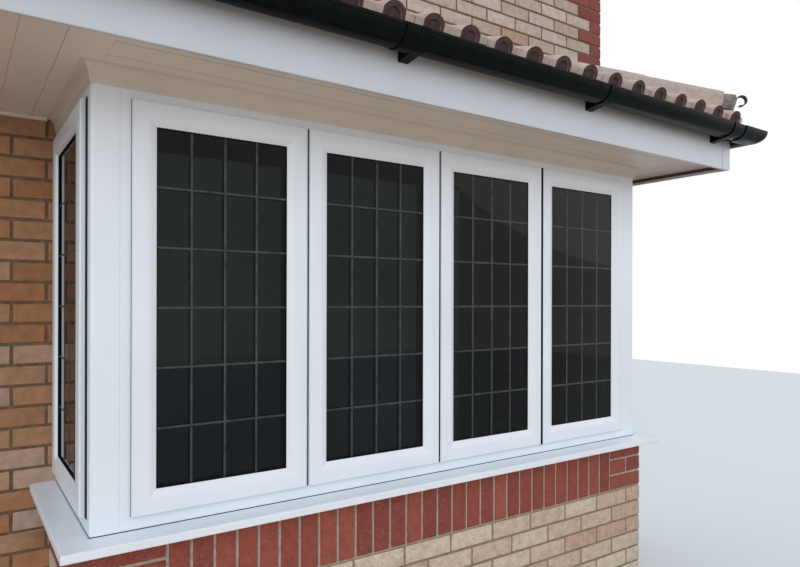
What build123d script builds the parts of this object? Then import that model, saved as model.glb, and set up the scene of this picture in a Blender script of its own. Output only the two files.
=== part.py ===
from build123d import *
from math import radians, sin, tan
import os

# Square bay window with a hipped lean-to roof, and the house wall it stands against.
# Millimetres, +Z up. Origin: on the ground, on the house wall's outer face, at the
# middle of the bay. The bay comes forward along -Y and the room lies along +Y.
# An outset is a distance outwards from the brick faces of the bay's base.

# Brick base of the bay
bay_width = 2568.0
bay_projection = 702.5
base_height = 895.0
soldier_height = 220.0
base_wall_thickness = 302.5
floor_thickness = 150.0

# House wall behind the bay
house_wall_width = 3860.0
house_wall_height = 3600.0
house_wall_thickness = 300.0
lintel_height = 150.0
lintel_bearing = 150.0

# Outer sill and inner window board
sill_overhang = 64.0
sill_thickness = 23.0
sill_fall = 3.0
sill_nose_drop = 6.0
sill_nose_width = 12.0
board_thickness = 30.0
board_overhang = 30.0

# Window frames, and corner posts that are wide in front and narrow at the side
window_inset = 22.0
frame_depth = 70.0
frame_height = 1277.0
post_width = 80.0
post_return = 40.0
jamb_face = 31.0
foot_face = 40.0
head_face = 27.0

# Sashes
front_sash_count = 4
sash_gap = 10.0
sash_lap = 20.0
sash_clearance = 3.0
sash_proud = 17.0
sash_body_depth = 60.0
stile_width = 71.0
rail_width = 69.0
sash_bevel_width = 32.0
sash_bevel_depth = 12.0

# Glass
glass_setback = 16.0
glass_thickness = 24.0
glass_bite = 10.0
glass_clearance = 2.0

# Inside handles of the two opening sashes
handle_height = 595.0
handle_plate_width = 26.0
handle_plate_height = 60.0
handle_plate_depth = 12.0
handle_neck = 28.0
handle_lever_length = 122.0
handle_lever_width = 18.0
handle_lever_thickness = 12.0

# Trim at the window head, hollowed to a cove
head_trim_height = 56.0
head_trim_thickness = 5.0
cove_height = 50.0
cove_width = 28.0
bead_height = 10.0
bead_thickness = 15.0

# Eaves
eaves_overhang = 285.0
fascia_thickness = 20.0
fascia_lip = 30.0
fascia_trim_width = 60.0
fascia_trim_thickness = 2.5
soffit_thickness = 9.0
ceiling_thickness = 12.5

# Roof
roof_pitch = 22.5
tile_overhang = 90.0
tile_depth = 25.0
roof_depth = 130.0
eaves_rise = 189.0
hip_radius = 85.0
hip_lift = 36.0
hip_setback = 121.0
hip_iron_width = 25.0
hip_iron_thickness = 5.0
hip_iron_rise = 52.0
hip_iron_radius = 26.0
flashing_height = 150.0
flashing_thickness = 3.0

# Gutter
gutter_width = 112.0
gutter_depth = 58.0
gutter_wall = 3.0
gutter_rise = 92.0
bracket_width = 38.0
bracket_wall = 4.0
bracket_drop = 12.0
front_bracket_spacing = 908.0
front_bracket_offset = 51.0
side_bracket_from_wall = 380.0

# Levels
half_width = bay_width / 2
sill_top = base_height + sill_thickness
frame_top = sill_top + frame_height
soffit_level = frame_top + head_trim_height
fascia_bottom = soffit_level - fascia_lip
eaves_level = soffit_level + eaves_rise
gutter_bottom = soffit_level + gutter_rise

# Outer faces of the window frames
face_x = half_width - window_inset
face_y = window_inset - bay_projection

# Outsets
frame_outset = -window_inset
frame_back_outset = -window_inset - frame_depth
trim_outset = frame_outset + head_trim_thickness
inner_outset = -base_wall_thickness
fascia_back_outset = eaves_overhang - fascia_thickness
tile_outset = eaves_overhang + tile_overhang
gutter_back_outset = eaves_overhang + bracket_wall
gutter_middle_outset = gutter_back_outset + gutter_width / 2
reach = bay_width + bay_projection + tile_outset

SIDES = {"left": -1, "right": 1}
FRONT = Plane(origin=(0, -bay_projection, 0), x_dir=(0, -1, 0), z_dir=(-1, 0, 0))


def side_plane(side):
    """Section plane of one side of the bay: x is the outset and y the height."""
    return Plane(origin=(side * half_width, 0, 0), x_dir=(side, 0, 0), z_dir=(0, -side, 0))


def block(x_range, y_range, z_range):
    """Box between two corners given as ranges."""
    ranges = (x_range, y_range, z_range)
    middle = [(low + high) / 2 for low, high in ranges]
    size = [abs(high - low) for low, high in ranges]
    return Pos(*middle) * Box(*size)


def outline(*points):
    """Flat face inside a closed run of straight lines."""
    return make_face(Polyline(*points, close=True))


def mirrored(side, near, far):
    """Range along X on one side of the bay."""
    return (side * near, side * far)


def front_zone():
    """Upright space that the front pieces fill, between the two 45 degree mitres."""
    plan = outline(
        (-half_width - reach, -bay_projection - reach),
        (half_width + reach, -bay_projection - reach),
        (half_width - bay_projection, 0),
        (bay_projection - half_width, 0),
    )
    return extrude(plan, amount=house_wall_height + reach)


def side_zone(side):
    """Upright space that one side's pieces fill, from the mitre to the house wall."""
    plan = outline(
        (side * (half_width + reach), -bay_projection - reach),
        (side * (half_width + reach), 0),
        (side * (half_width - bay_projection), 0),
    )
    return extrude(plan, amount=house_wall_height + reach)


def front_run(section):
    """Carry a section along the front and mitre its ends."""
    return extrude(FRONT * section, amount=reach, both=True) & front_zone()


def side_run(section, side):
    """Carry a section along one side, from the mitre to the house wall."""
    return extrude(side_plane(side) * section, amount=reach, both=True) & side_zone(side)


def side_runs(section):
    """The left and right runs of one section, as two separate solids."""
    return [side_run(section, side) for side in SIDES.values()]


def base_pieces():
    """Brick walls under the windows, their soldier courses and the floor between them."""
    inner_half = half_width - base_wall_thickness
    inner_front = base_wall_thickness - bay_projection
    wall_top = base_height - soldier_height
    levels = {"base_wall": (0, wall_top), "soldier_course": (wall_top, base_height)}
    pieces = {}
    for name, z_range in levels.items():
        front_x = (-half_width, half_width)
        pieces[name + "_front"] = block(front_x, (-bay_projection, inner_front), z_range)
        for word, side in SIDES.items():
            side_x = mirrored(side, inner_half, half_width)
            pieces[name + "_" + word] = block(side_x, (inner_front, 0), z_range)
    floor_y = (inner_front, house_wall_thickness)
    pieces["bay_floor"] = block((-inner_half, inner_half), floor_y, (0, floor_thickness))
    return pieces


def house_wall_pieces():
    """House wall beside and over the opening that joins the room to the bay."""
    opening_half = half_width - base_wall_thickness
    wall_half = house_wall_width / 2
    y_range = (0, house_wall_thickness)
    lintel_half = opening_half + lintel_bearing
    lintel_z = (soffit_level, soffit_level + lintel_height)
    lintel = block((-lintel_half, lintel_half), y_range, lintel_z)
    upper = block((-wall_half, wall_half), y_range, (soffit_level, house_wall_height))
    pieces = {"house_wall_upper": upper - lintel, "opening_lintel": lintel}
    for word, side in SIDES.items():
        x_range = mirrored(side, opening_half, wall_half)
        pieces["house_wall_" + word] = block(x_range, y_range, (0, soffit_level))
    return pieces


def sill_pieces():
    """Sloping outer sill with a drip nose, and the window board on the room side."""
    nose_top = sill_top - sill_fall
    nose_bottom = base_height - sill_nose_drop
    nose_back = sill_overhang - sill_nose_width
    sill = outline(
        (frame_back_outset, base_height),
        (nose_back, base_height),
        (nose_back, nose_bottom),
        (sill_overhang, nose_bottom),
        (sill_overhang, nose_top),
        (frame_outset, sill_top),
        (frame_back_outset, sill_top),
    )
    board_edge = inner_outset - board_overhang
    board_top = base_height + board_thickness
    board = outline(
        (frame_back_outset, base_height),
        (board_edge, base_height),
        (board_edge, board_top),
        (frame_back_outset, board_top),
    )
    return {
        "sill_front": front_run(sill),
        "side_sills": side_runs(sill),
        "window_board_front": front_run(board),
        "side_window_boards": side_runs(board),
    }


def sash_size(frame_width, count):
    """Width and height over the flange of each sash in a frame."""
    width = (frame_width - 2 * jamb_face - (count - 1) * sash_gap) / count
    return width, frame_height - foot_face - head_face


def sash_starts(frame_width, count):
    """Left edge of each sash, measured along its frame."""
    width = sash_size(frame_width, count)[0]
    return [jamb_face + index * (width + sash_gap) for index in range(count)]


def window_frame(frame_width, count):
    """Outer frame with its mullions, face at y = 0 and foot at z = 0."""
    width, height = sash_size(frame_width, count)
    frame = block((0, frame_width), (0, frame_depth), (0, frame_height))
    light_z = (foot_face + sash_lap, foot_face + height - sash_lap)
    for start in sash_starts(frame_width, count):
        light_x = (start + sash_lap, start + width - sash_lap)
        frame -= block(light_x, (0, frame_depth), light_z)
    return frame


def inset_block(width, height, margin_x, margin_z, y_range):
    """Box inside a sash's outline, with a margin left at its sides and at its ends."""
    return block((margin_x, width - margin_x), y_range, (margin_z, height - margin_z))


def sash_bevel(width, height):
    """Sloping cut round the glass on the outer face of a sash."""
    face = Plane(origin=(width / 2, -sash_proud, height / 2), x_dir=(1, 0, 0), z_dir=(0, 1, 0))
    sight_width = width - 2 * stile_width
    sight_height = height - 2 * rail_width
    outer = Rectangle(sight_width + 2 * sash_bevel_width, sight_height + 2 * sash_bevel_width)
    inner = Rectangle(sight_width, sight_height)
    return loft([face * outer, face.offset(sash_bevel_depth) * inner])


def window_sash(width, height):
    """One sash: a flange over the frame, a body inside it and a groove for the glass."""
    margin = sash_lap + sash_clearance
    sash = inset_block(width, height, 0, 0, (-sash_proud, 0))
    sash += inset_block(width, height, margin, margin, (0, sash_body_depth))
    sash -= inset_block(width, height, stile_width, rail_width, (-sash_proud, sash_body_depth))
    glass_y = glass_setback - sash_proud
    sash -= inset_block(
        width, height,
        stile_width - glass_bite, rail_width - glass_bite,
        (glass_y, glass_y + glass_thickness),
    )
    return sash - sash_bevel(width, height)


def sash_glass(width, height):
    """Sealed glass unit held in the groove of one sash."""
    seat = glass_bite - glass_clearance
    glass_y = glass_setback - sash_proud
    y_range = (glass_y, glass_y + glass_thickness)
    return inset_block(width, height, stile_width - seat, rail_width - seat, y_range)


def window_handle(stile_middle):
    """Lever handle on the room side of a stile."""
    back = sash_body_depth
    plate_y = (back, back + handle_plate_depth)
    neck_y = (back, back + handle_neck)
    lever_y = (back + handle_neck - handle_lever_thickness, back + handle_neck)
    plate_x = (stile_middle - handle_plate_width / 2, stile_middle + handle_plate_width / 2)
    lever_x = (stile_middle - handle_lever_width / 2, stile_middle + handle_lever_width / 2)
    plate_z = (handle_height - handle_plate_height / 2, handle_height + handle_plate_height / 2)
    neck_z = (handle_height - handle_lever_width / 2, handle_height + handle_lever_width / 2)
    lever_z = (neck_z[1] - handle_lever_length, neck_z[1])
    handle = block(plate_x, plate_y, plate_z) + block(lever_x, neck_y, neck_z)
    return handle + block(lever_x, lever_y, lever_z)


def window_pieces():
    """Front and side windows with their sashes, glass and handles."""
    front_width = 2 * (face_x - post_width)
    side_width = -face_y - post_return
    front = Pos(-front_width / 2, face_y, sill_top)
    side_places = {
        "left": Pos(-face_x, 0, sill_top) * Rot(0, 0, -90),
        "right": Pos(face_x, -side_width, sill_top) * Rot(0, 0, 90),
    }
    pieces = {"front_frame": front * window_frame(front_width, front_sash_count)}
    width, height = sash_size(front_width, front_sash_count)
    sash = window_sash(width, height)
    glass = sash_glass(width, height)
    starts = sash_starts(front_width, front_sash_count)
    places = [front * Pos(start, 0, foot_face) for start in starts]
    for number, place in enumerate(places, start=1):
        pieces["front_sash_" + str(number)] = place * sash
    pieces["front_glass"] = [place * glass for place in places]
    stile_middle = (sash_lap + sash_clearance + stile_width) / 2
    pieces["window_handles"] = [
        places[0] * window_handle(width - stile_middle),
        places[-1] * window_handle(stile_middle),
    ]
    width, height = sash_size(side_width, 1)
    side_start = Pos(jamb_face, 0, foot_face)
    for word, place in side_places.items():
        pieces[word + "_frame"] = place * window_frame(side_width, 1)
        pieces[word + "_sash"] = place * side_start * window_sash(width, height)
    glass = side_start * sash_glass(width, height)
    pieces["side_glass"] = [place * glass for place in side_places.values()]
    return pieces


def post_pieces():
    """Corner posts as deep as the frames, notched round the ends of the side frames."""
    posts = []
    for side in SIDES.values():
        post_x = mirrored(side, face_x - post_width, face_x)
        notch_x = mirrored(side, face_x - frame_depth, face_x)
        post_y = (face_y, face_y + frame_depth)
        notch_y = (face_y + post_return, face_y + frame_depth)
        post_z = (sill_top, frame_top)
        posts.append(block(post_x, post_y, post_z) - block(notch_x, notch_y, post_z))
    return {"corner_posts": posts}


def pan_level(outset):
    """Height of the tiles' pans at an outset, on any of the three slopes."""
    return eaves_level + (tile_outset - outset) * tan(radians(roof_pitch))


def cove_section():
    """Section of the trim over the windows, hollowed by a quarter of an oval."""
    cove_foot = (trim_outset, soffit_level - cove_height)
    cove_head = (trim_outset + cove_width, soffit_level)
    slant = sin(radians(45))
    hollow = (cove_head[0] - cove_width * slant, cove_foot[1] + cove_height * slant)
    back = Polyline(
        cove_head,
        (frame_outset, soffit_level),
        (frame_outset, frame_top),
        (trim_outset, frame_top),
        cove_foot,
    )
    return make_face(back + ThreePointArc(cove_foot, hollow, cove_head))


def head_pieces():
    """Beams over the windows, the trim in front of them and the bay's ceiling."""
    beam = outline(
        (frame_outset, frame_top),
        (frame_outset, pan_level(frame_outset) - roof_depth),
        (frame_back_outset, pan_level(frame_back_outset) - roof_depth),
        (frame_back_outset, frame_top),
    )
    trim = cove_section()
    ceiling_half = half_width + frame_back_outset
    ceiling_y = (-bay_projection - frame_back_outset, 0)
    ceiling_z = (soffit_level, soffit_level + ceiling_thickness)
    bead_z = (soffit_level - bead_height, soffit_level)
    bead_near = half_width + trim_outset + cove_width
    bead_far = half_width + fascia_back_outset
    return {
        "head_beam_front": front_run(beam),
        "side_head_beams": side_runs(beam),
        "head_trim_front": front_run(trim),
        "side_head_trims": side_runs(trim),
        "bay_ceiling": block((-ceiling_half, ceiling_half), ceiling_y, ceiling_z),
        "wall_beads": [
            block(mirrored(side, bead_near, bead_far), (-bead_thickness, 0), bead_z)
            for side in SIDES.values()
        ],
    }


def eaves_pieces():
    """Soffit boards, fascia boards and the trims over the fascia's corners."""
    soffit = outline(
        (frame_outset, soffit_level),
        (fascia_back_outset, soffit_level),
        (fascia_back_outset, soffit_level + soffit_thickness),
        (frame_outset, soffit_level + soffit_thickness),
    )
    fascia = outline(
        (fascia_back_outset, fascia_bottom),
        (eaves_overhang, fascia_bottom),
        (eaves_overhang, pan_level(eaves_overhang) - tile_depth),
        (fascia_back_outset, pan_level(fascia_back_outset) - tile_depth),
    )
    trim_outer = eaves_overhang + fascia_trim_thickness
    trim_z = (fascia_bottom, pan_level(trim_outer) - tile_depth)
    corner_trims = []
    for side in SIDES.values():
        near = half_width + eaves_overhang - fascia_trim_width
        y_near = -bay_projection - eaves_overhang + fascia_trim_width
        x_outer = mirrored(side, near, half_width + trim_outer)
        x_inner = mirrored(side, near, half_width + eaves_overhang)
        trim = block(x_outer, (-bay_projection - trim_outer, y_near), trim_z)
        trim -= block(x_inner, (-bay_projection - eaves_overhang, y_near), trim_z)
        corner_trims.append(trim)
    return {
        "soffit_front": front_run(soffit),
        "side_soffits": side_runs(soffit),
        "fascia_front": front_run(fascia),
        "side_fascias": side_runs(fascia),
        "fascia_corner_trims": corner_trims,
    }


def roof_section():
    """Section of one slope: rafters and tiles over the bay, tiles alone past the fascia."""
    wall_outset = -bay_projection
    return outline(
        (tile_outset, pan_level(tile_outset) - tile_depth),
        (tile_outset, pan_level(tile_outset)),
        (wall_outset, pan_level(wall_outset)),
        (wall_outset, pan_level(wall_outset) - roof_depth),
        (fascia_back_outset, pan_level(fascia_back_outset) - roof_depth),
        (fascia_back_outset, pan_level(fascia_back_outset) - tile_depth),
    )


def space_under_pans():
    """Everything below the pans of the three slopes, for cutting what lies on them."""
    section = outline(
        (tile_outset, 0),
        (tile_outset, pan_level(tile_outset)),
        (-bay_projection, pan_level(-bay_projection)),
        (-bay_projection, 0),
    )
    space = front_run(section)
    for side in SIDES.values():
        space += side_run(section, side)
    return space


def wall_flashing():
    """Lead upstand on the house wall along the top edges of the three slopes."""
    foot_half = half_width + tile_outset
    top_half = half_width - bay_projection
    low = eaves_level
    high = pan_level(-bay_projection)
    strip = outline(
        (-foot_half, low),
        (-top_half, high),
        (top_half, high),
        (foot_half, low),
        (foot_half, low + flashing_height),
        (top_half, high + flashing_height),
        (-top_half, high + flashing_height),
        (-foot_half, low + flashing_height),
    )
    return extrude(Plane.XZ * strip, amount=flashing_thickness)


def hip_place(side):
    """Plane across one hip at its foot, centred on the hip and facing up it."""
    corner = Vector(side * (half_width + tile_outset), -bay_projection - tile_outset, eaves_level)
    up_hip = Vector(-side, 1, tan(radians(roof_pitch))).normalized()
    foot = corner + up_hip * hip_setback + Vector(0, 0, hip_lift)
    return Plane(origin=foot, z_dir=up_hip)


def hip_tiles(side, under_pans):
    """Round hip capping from its foot near the eaves to the flashing."""
    bar = extrude(hip_place(side) * Circle(hip_radius), amount=2 * reach)
    edge = half_width + tile_outset
    y_range = (-bay_projection - tile_outset, -flashing_thickness)
    room = block((-edge, edge), y_range, (0, house_wall_height + reach))
    return (bar & room) - under_pans


def hip_iron(side, under_pans):
    """Strap that stands against the foot of a hip and curls over in a scroll."""
    foot = hip_place(side)
    across = Plane(origin=foot.origin, x_dir=-foot.z_dir, z_dir=(-1, -side, 0))
    ring = Circle(hip_iron_radius) - Circle(hip_iron_radius - hip_iron_thickness)
    mouth = Rectangle(hip_iron_radius, hip_iron_radius, align=(Align.MAX, Align.MAX))
    strap = outline(
        (0, -hip_radius),
        (hip_iron_thickness, -hip_radius),
        (hip_iron_thickness, hip_iron_rise),
        (0, hip_iron_rise),
    )
    section = Pos(hip_iron_radius, hip_iron_rise) * (ring - mouth) + strap
    iron = extrude(across * section, amount=hip_iron_width / 2, both=True)
    return iron - under_pans


def roof_pieces():
    """Three tiled slopes, hip cappings with their irons, and the flashing."""
    section = roof_section()
    under_pans = space_under_pans()
    pieces = {"roof_slope_front": front_run(section), "wall_flashing": wall_flashing()}
    for word, side in SIDES.items():
        pieces["roof_slope_" + word] = side_run(section, side)
    pieces["hip_tiles"] = [hip_tiles(side, under_pans) for side in SIDES.values()]
    pieces["hip_irons"] = [hip_iron(side, under_pans) for side in SIDES.values()]
    return pieces


def trough(width, depth, bottom):
    """Half-round trough shape with straight upper sides, as a filled section."""
    radius = width / 2
    left = gutter_middle_outset - radius
    right = gutter_middle_outset + radius
    shoulder = bottom + radius
    rim = bottom + depth
    sides = Polyline((left, shoulder), (left, rim), (right, rim), (right, shoulder))
    return make_face(sides + ThreePointArc(sides @ 1, (gutter_middle_outset, bottom), sides @ 0))


def bracket_section():
    """Section of a gutter bracket: a sleeve under the trough and a gusset to the fascia."""
    rim = gutter_bottom + gutter_depth
    sleeve_bottom = gutter_bottom - bracket_wall
    sleeve_width = gutter_width + 2 * bracket_wall
    gusset = outline(
        (eaves_overhang, gutter_bottom - bracket_drop),
        (gutter_middle_outset, sleeve_bottom),
        (gutter_middle_outset, rim),
        (eaves_overhang, rim),
    )
    bracket = gusset + trough(sleeve_width, gutter_depth + bracket_wall, sleeve_bottom)
    return bracket - trough(gutter_width, gutter_depth, gutter_bottom)


def gutter_pieces():
    """Gutter round three sides, closed at the house wall, with its brackets."""
    outer = trough(gutter_width, gutter_depth, gutter_bottom)
    inner_width = gutter_width - 2 * gutter_wall
    inner = trough(inner_width, gutter_depth - gutter_wall, gutter_bottom + gutter_wall)
    channel = outer - inner
    side_gutters = []
    bracket_places = []
    for side in SIDES.values():
        stop_end = extrude(side_plane(side) * outer, amount=gutter_wall * side)
        side_gutters.append(side_run(channel, side) + stop_end)
        bracket_places.append(side_plane(side).offset(side_bracket_from_wall * side))
    for index in range(-1, 3):
        middle = front_bracket_offset + (index - 0.5) * front_bracket_spacing
        bracket_places.append(FRONT.offset(-middle))
    section = bracket_section()
    brackets = [
        extrude(place * section, amount=bracket_width / 2, both=True)
        for place in bracket_places
    ]
    return {
        "gutter_front": front_run(channel),
        "side_gutters": side_gutters,
        "gutter_brackets": brackets,
    }


def write(name, piece):
    """Write one piece, or several separate solids of one piece, to its own file."""
    solids = []
    for item in piece if isinstance(piece, list) else [piece]:
        solids.extend(item.solids())
    shape = solids[0] if len(solids) == 1 else Compound(children=solids)
    export_step(shape, "parts/" + name + ".step")


def main():
    os.makedirs("parts", exist_ok=True)
    pieces = {}
    makers = (
        base_pieces, house_wall_pieces, sill_pieces, window_pieces, post_pieces,
        head_pieces, eaves_pieces, roof_pieces, gutter_pieces,
    )
    for make in makers:
        pieces.update(make())
    for name, piece in pieces.items():
        write(name, piece)


main()
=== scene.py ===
import math
import random
from math import cos, radians, sin, sqrt

import bmesh
import bpy
from mathutils import Color, Matrix, Vector

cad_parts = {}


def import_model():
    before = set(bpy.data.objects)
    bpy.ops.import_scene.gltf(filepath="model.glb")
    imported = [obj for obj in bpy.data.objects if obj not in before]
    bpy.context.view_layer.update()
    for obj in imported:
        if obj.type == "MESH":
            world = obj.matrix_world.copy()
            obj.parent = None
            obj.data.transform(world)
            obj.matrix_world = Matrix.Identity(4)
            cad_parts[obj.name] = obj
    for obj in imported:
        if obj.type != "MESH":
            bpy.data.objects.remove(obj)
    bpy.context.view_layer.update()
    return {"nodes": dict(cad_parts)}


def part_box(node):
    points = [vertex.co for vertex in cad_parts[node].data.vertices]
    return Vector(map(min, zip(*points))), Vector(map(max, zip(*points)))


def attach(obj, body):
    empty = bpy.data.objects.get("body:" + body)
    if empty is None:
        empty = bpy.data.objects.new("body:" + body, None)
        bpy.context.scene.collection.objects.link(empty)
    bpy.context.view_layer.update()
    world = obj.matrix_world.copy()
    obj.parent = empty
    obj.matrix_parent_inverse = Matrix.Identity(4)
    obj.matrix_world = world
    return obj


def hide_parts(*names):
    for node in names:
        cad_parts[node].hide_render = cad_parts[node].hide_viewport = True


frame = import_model()

# Metres, in the frame of the model: the house wall's outer face is at y = 0, the bay
# comes forward along -Y and the room lies along +Y. An outset is a distance outwards
# from the brick faces of the bay's base.

# The photograph's camera
IMAGE_WIDTH = 800
IMAGE_HEIGHT = 567
FOCAL_PIXELS = 628.86
AXIS_PIXEL = (362.4, 300.2)
CAMERA_PLACE = Vector((-1.58505, -2.57144, 1.58727))
CAMERA_YAW = radians(33.12)
CAMERA_ROLL = radians(0.14)
SENSOR_WIDTH = 36.0

# Brickwork
COURSE = 0.075
BRICK_PITCH = 0.225
JOINT = 0.010
STRETCHER = 0.215
HEADER = 0.1025
JOINT_RECESS = 0.004
BRICK_CHAMFER = 0.0025
BRICK_JITTER = 0.0008
SHORTEST_BRICK = 0.045
SOLDIER_PITCH = 0.075
SOLDIER_DRIFT = 0.000083
SOLDIER_RUN_HALF = 1.05
SOLDIER_TOP_GAP = 0.002
CORNER_COURSES = 3
LEFT_WALL_JOINT = -1.2935
WALL_INNER = 1.18
PLASTER_DEPTH = 0.012
PLASTER_CHAMFER = 0.001
CORE_CHAMFER = 0.0001

# Where a brick's colour lies between the palest, 0, and the warmest or darkest, 1
BUFF_TONES = (0.0, 0.75)
ORANGE_TONES = (0.85, 1.0)
ORANGE_COURSES = 4
ORANGE_START = 0.3
ORANGE_SHARE = 0.35
UPPER_WALL_TONES = (0.0, 0.45)
# Beside the bay the tones are warmer and darker, most of all near the soffit, to paint the warm
# shade there
SHADED_WALL_FOOT_TONES = (0.25, 0.65)
WALL_SHADE_RISE = (0.3, 0.35)
QUOIN_TONES = (0.4, 1.0)

# Red quoins at the house corner, in blocks of three courses that take turns in width
QUOIN_COURSES = 3
QUOIN_WIDTHS = (0.220, 0.333)

# Windows
PANE_COLUMNS = 4
PANE_ROWS = 6
STILE_WIDTH = 0.071
RAIL_WIDTH = 0.069
SASH_LAP = 0.023
SASH_PROUD = 0.017
SASH_DEPTH = 0.077
SASH_ROUNDING = 0.006
SASH_STEPS = 5
BEVEL_WIDTH = 0.032
SIDE_BEVEL_WIDTH = 0.010
BEVEL_DEPTH = 0.0125
BEVEL_CURVE = 1.5
GLASS_BITE = 0.010
GLASS_FRONT = 0.016
GLASS_BACK = 0.040
GASKET_WIDTH = 0.0035
GASKET_HEIGHT = 0.0025
SIDE_GASKET_HEIGHT = 0.006

# Black strips beside the sashes that paint the shade in the gaps there, the side ones also being a
# real black seal:
# how deep each of the front ones lies and its width, and the edges and height of the side ones
GAP_SHADE_DEPTHS = (0.013, 0.010, 0.008, 0.0005)
GAP_SHADE_WIDTHS = (0.0006, 0.0006, 0.0008, 0.0095)
SIDE_SEAL_AND_SHADE = (0.001, 0.030)
SIDE_SEAL_AND_SHADE_HEIGHT = 0.0015
SHADE_STRIP_CHAMFER = 0.0003

# Lead strips on the glass and corner posts
CAME_WIDTH = 0.0075
CAME_HEIGHT = 0.0016
CAME_SHOULDER = (0.7, 0.75)
POST_WIDTH = 0.080
POST_RETURN = 0.040
FRAME_DEPTH = 0.070
POST_ROUNDING = 0.010
POST_JOINT = 0.0012

# Window handles: plate, pivot and lever, with the lever's ovals as (share of its length,
# half width, half thickness)
PLATE_HALF = 0.013
PLATE_HEIGHT = 0.060
PLATE_DEPTH = 0.009
PLATE_CHAMFER = 0.004
PIVOT_DROP = 0.030
PIVOT_RINGS = ((0.008, 0.011), (0.012, 0.009), (0.020, 0.0085))
PIVOT_END = (0.004, 0.009)
LEVER_MIDDLE = 0.006
LEVER_OVALS = (
    (-0.07, 0.002, 0.002), (-0.05, 0.008, 0.005), (0.0, 0.010, 0.006), (0.15, 0.0085, 0.0055),
    (0.45, 0.0065, 0.0045), (0.75, 0.0075, 0.005), (0.92, 0.0085, 0.0055), (1.0, 0.003, 0.002),
)

# Head trim, soffit and fascia
COVE_WIDTH = 0.033
COVE_STEPS = 3
COVE_STEP_DEPTH = 0.002
COVE_STEP_HEIGHT = 0.007
SOFFIT_THICKNESS = 0.009
SOFFIT_EDGE = 0.278
BOARD_JOINTS = (0.064, 0.170)
BOARD_END = -0.048
BOARD_GAP = 0.0005
BOARD_GROOVE_WIDTH = 0.004
BOARD_GROOVE_DEPTH = 0.003
FASCIA_THICKNESS = 0.020
FASCIA_SHEET = 0.006
FASCIA_RETURN = 0.011
FASCIA_RETURN_HEIGHT = 0.013
FASCIA_ROUNDING = 0.004

# Outer sill
SILL_OVERHANG = 0.064
SILL_FALL = 0.003
SILL_NOSE = 0.012
SILL_NOSE_DROP = 0.006
SILL_ROUNDING = 0.004
SILL_GROOVE = 0.0025
# Black line at the frames' foot that paints the shadow line there: its half width and half height
FOOT_SHADOW_LINE = (0.0008, 0.0018)

# Roof tiles with two rolls each
ROOF_PITCH = radians(22.5)
ROOF_SLOPE = math.tan(ROOF_PITCH)
CAD_TILE_DEPTH = 0.025
ROOF_DEPTH = 0.130
DECK_GAP = 0.004
DECK_MEETING = 0.001
ROLL_PITCH = 0.150
ROLLS_IN_TILE = 2
ROLL_RADIUS = 0.046
ROLL_HOLLOW = 0.029
HOLLOW_STEPS = (0.0105, 0.020, 0.026)
SHOULDER_STEP = 0.036
ROLL_PHASE = -0.0468
TILE_SETBACK = 0.008
TILE_THICKNESS = 0.022
TILE_GAUGE = 0.345
TILE_LAP = 0.075
TILE_GAP = 0.003
TILE_JITTER = 0.0015
PAN_TOLERANCE = 0.001
TILE_WIDTH = ROLL_PITCH * ROLLS_IN_TILE
TILE_RUN = TILE_GAUGE * cos(ROOF_PITCH)
TILE_LAP_RUN = TILE_LAP * cos(ROOF_PITCH)
FILLER_INSET = 0.005
FILLER_DEPTH = 0.012
FILLER_BITE = 0.001
CORNER_CUT = 0.149

# Hip tiles
HIP_RADIUS = 0.085
HIP_LIFT = 0.028
HIP_SETBACK = 0.121
HIP_BED_START = 0.015
HIP_START = 0.072
HIP_THICKNESS = 0.013
HIP_GAUGE = 0.370
HIP_LAP = 0.050
HIP_TAPER = 0.004
HIP_SPREAD = radians(100)
HIP_SHADING = 1.6
BED_SPREAD = 0.006
BED_INSET = 0.004
BED_FILL = 0.9
FLASHING_THICKNESS = 0.003

# Gutter
GUTTER_WALL = 0.003
LIP_RADIUS = 0.005
LIP_OVERHANG = 0.001
SLEEVE_LIP = 0.0025
LIP_TURN = 315
LIP_STEPS = 7
SLEEVE_WALL = 0.004
ANGLE_REACH = 0.075
UNION_MIDDLE = -0.442
UNION_HALF = 0.032

SIDES = (-1, 1)
AXES = (0, 1, 2)
CURVE_STEPS = 8
FINE_STEPS = 16
COVE_CURVE_STEPS = 12
chance = random.Random(22)
scene = bpy.context.scene


def low(node):
    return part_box(node)[0]


def high(node):
    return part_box(node)[1]


# Faces and levels of the model that the pieces here fit
HALF, BASE_INNER_Y, SOLDIER_FOOT = high("base_wall_front")
FRONT_Y = low("base_wall_front").y
INNER_OUTSET = FRONT_Y - BASE_INNER_Y
BASE_TOP = high("soldier_course_front").z
FLOOR_TOP = high("bay_floor").z
WALL_HALF, WALL_BACK, WALL_TOP = high("house_wall_upper")
LINTEL_HALF, _, LINTEL_TOP = high("opening_lintel")
OPENING_HALF = low("house_wall_right").x
SOFFIT_LEVEL = high("house_wall_left").z
FACE_X, _, FRAME_TOP = high("corner_posts")
_, FACE_Y, SILL_TOP = low("corner_posts")
FACE_OUTSET = FACE_X - HALF
FASCIA_FOOT = low("fascia_front").z
FASCIA_OUTSET = high("side_fascias").x - HALF
TILE_OUTSET = high("roof_slope_right").x - HALF
EAVES_LEVEL = low("wall_flashing").z
GUTTER_OUTER = high("side_gutters").x - HALF
GUTTER_FOOT = low("gutter_front").z
GUTTER_RIM = high("gutter_front").z


# Finishes

FULL_VALUE = 255
MIX_FIRST = 6
MIX_SECOND = 7
MIX_RESULT = 2


def srgb(*values):
    """Linear colour from the values of a screen colour."""
    screen = Color([value / FULL_VALUE for value in values])
    return (*screen.from_srgb_to_scene_linear(), 1.0)


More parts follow.
